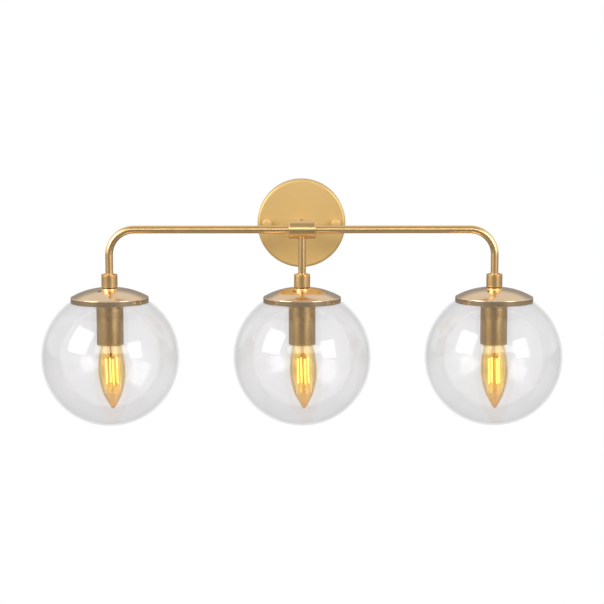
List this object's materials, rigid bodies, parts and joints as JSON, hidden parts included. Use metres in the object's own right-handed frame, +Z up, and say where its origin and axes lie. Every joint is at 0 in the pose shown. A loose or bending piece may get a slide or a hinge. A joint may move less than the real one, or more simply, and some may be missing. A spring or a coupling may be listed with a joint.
{
  "type": "vanity light bar",
  "caption": "Wall-mounted bathroom light bar: round canopy, short arm, bent tube bar, clear glass globes under domed caps with candle bulbs.",
  "frame": {"origin": "centre of the mounting plate's back face, on the wall plane, level with the bar", "axes": "+X along the bar to the right as seen from the room, +Y into the wall, +Z up"},
  "size_m": [0.57, 0.18, 0.2652],
  "materials": {
    "satin_gold": "fine brushed satin gold, clear lacquered",
    "zinc_steel": "zinc plated",
    "contact_brass": "bare brass",
    "clear_glass": "clear blown glass",
    "amber_glass": "amber tinted glass",
    "filament": "yellow phosphor strip on a glass stem",
    "phenolic": "moulded black phenolic",
    "seal_rubber": "translucent silicone",
    "lead_sleeve": "smooth insulation",
    "ground_green": "green"
  },
  "bodies": {
    "root": {"mounting_plate": "zinc_steel", "canopy": "satin_gold", "wall_arm": "satin_gold", "wall_arm_ring": "satin_gold", "wall_arm_nut": "zinc_steel", "stud_left": "zinc_steel", "stud_right": "zinc_steel", "stud_nut_left": "zinc_steel", "stud_nut_right": "zinc_steel", "cap_nut_left": "satin_gold", "cap_nut_right": "satin_gold", "ground_screw": "ground_green", "terminal_block": "phenolic", "hub": "satin_gold", "center_stem": "satin_gold", "bar_tube_left": "satin_gold", "bar_tube_right": "satin_gold", "lead_left": "lead_sleeve", "lead_center": "lead_sleeve", "lead_right": "lead_sleeve", "ground_wire": "ground_green", "collar_left": "satin_gold", "nipple_left": "zinc_steel", "glass_cap_left": "satin_gold", "socket_cup_left": "satin_gold", "lampholder_left": "phenolic", "screw_shell_left": "contact_brass", "center_contact_left": "contact_brass", "collar_center": "satin_gold", "nipple_center": "zinc_steel", "glass_cap_center": "satin_gold", "socket_cup_center": "satin_gold", "lampholder_center": "phenolic", "screw_shell_center": "contact_brass", "center_contact_center": "contact_brass", "collar_right": "satin_gold", "nipple_right": "zinc_steel", "glass_cap_right": "satin_gold", "socket_cup_right": "satin_gold", "lampholder_right": "phenolic", "screw_shell_right": "contact_brass", "center_contact_right": "contact_brass"},
    "globe_seal_left": {"globe_seal_left": "seal_rubber"},
    "globe_left": {"globe_left": "clear_glass"},
    "bulb_contact_left": {"bulb_contact_left": "contact_brass"},
    "bulb_left": {"bulb_glass_left": "amber_glass", "bulb_base_left": "contact_brass", "bulb_filament_left": "filament"},
    "globe_seal_center": {"globe_seal_center": "seal_rubber"},
    "globe_center": {"globe_center": "clear_glass"},
    "bulb_contact_center": {"bulb_contact_center": "contact_brass"},
    "bulb_center": {"bulb_glass_center": "amber_glass", "bulb_base_center": "contact_brass", "bulb_filament_center": "filament"},
    "globe_seal_right": {"globe_seal_right": "seal_rubber"},
    "globe_right": {"globe_right": "clear_glass"},
    "bulb_contact_right": {"bulb_contact_right": "contact_brass"},
    "bulb_right": {"bulb_glass_right": "amber_glass", "bulb_base_right": "contact_brass", "bulb_filament_right": "filament"}
  },
  "joints": [
    {"name": "globe_drop_left", "type": "slide", "parent": "root", "child": "globe_seal_left", "axis": [0, 0, -1], "range_m": [0, 0.00437]},
    {"name": "globe_turn_left", "type": "hinge", "parent": "globe_seal_left", "child": "globe_left", "pos_m": [-0.21, -0.105, -0.1402], "axis": [0, 0, -1], "range_deg": [0, 450]},
    {"name": "bulb_drop_left", "type": "slide", "parent": "root", "child": "bulb_contact_left", "axis": [0.0262, 0, -0.9997], "range_m": [0, 0.01269]},
    {"name": "bulb_turn_left", "type": "hinge", "parent": "bulb_contact_left", "child": "bulb_left", "pos_m": [-0.21, -0.105, -0.105], "axis": [0.0262, 0, -0.9997], "range_deg": [0, 1800]},
    {"name": "globe_drop_center", "type": "slide", "parent": "root", "child": "globe_seal_center", "axis": [0, 0, -1], "range_m": [0, 0.00437]},
    {"name": "globe_turn_center", "type": "hinge", "parent": "globe_seal_center", "child": "globe_center", "pos_m": [0, -0.105, -0.1402], "axis": [0, 0, -1], "range_deg": [0, 450]},
    {"name": "bulb_drop_center", "type": "slide", "parent": "root", "child": "bulb_contact_center", "axis": [0.0262, 0, -0.9997], "range_m": [0, 0.01269]},
    {"name": "bulb_turn_center", "type": "hinge", "parent": "bulb_contact_center", "child": "bulb_center", "pos_m": [0, -0.105, -0.105], "axis": [0.0262, 0, -0.9997], "range_deg": [0, 1800]},
    {"name": "globe_drop_right", "type": "slide", "parent": "root", "child": "globe_seal_right", "axis": [0, 0, -1], "range_m": [0, 0.00437]},
    {"name": "globe_turn_right", "type": "hinge", "parent": "globe_seal_right", "child": "globe_right", "pos_m": [0.21, -0.105, -0.1402], "axis": [0, 0, -1], "range_deg": [0, 450]},
    {"name": "bulb_drop_right", "type": "slide", "parent": "root", "child": "bulb_contact_right", "axis": [0.0262, 0, -0.9997], "range_m": [0, 0.01269]},
    {"name": "bulb_turn_right", "type": "hinge", "parent": "bulb_contact_right", "child": "bulb_right", "pos_m": [0.21, -0.105, -0.105], "axis": [0.0262, 0, -0.9997], "range_deg": [0, 1800]}
  ],
  "couplings": [
    {"joint": "globe_turn_left", "follows": "globe_drop_left", "rad_per_m": 1795.2},
    {"joint": "bulb_turn_left", "follows": "bulb_drop_left", "rad_per_m": 2473.7},
    {"joint": "globe_turn_center", "follows": "globe_drop_center", "rad_per_m": 1795.2},
    {"joint": "bulb_turn_center", "follows": "bulb_drop_center", "rad_per_m": 2473.7},
    {"joint": "globe_turn_right", "follows": "globe_drop_right", "rad_per_m": 1795.2},
    {"joint": "bulb_turn_right", "follows": "bulb_drop_right", "rad_per_m": 2473.7}
  ]
}
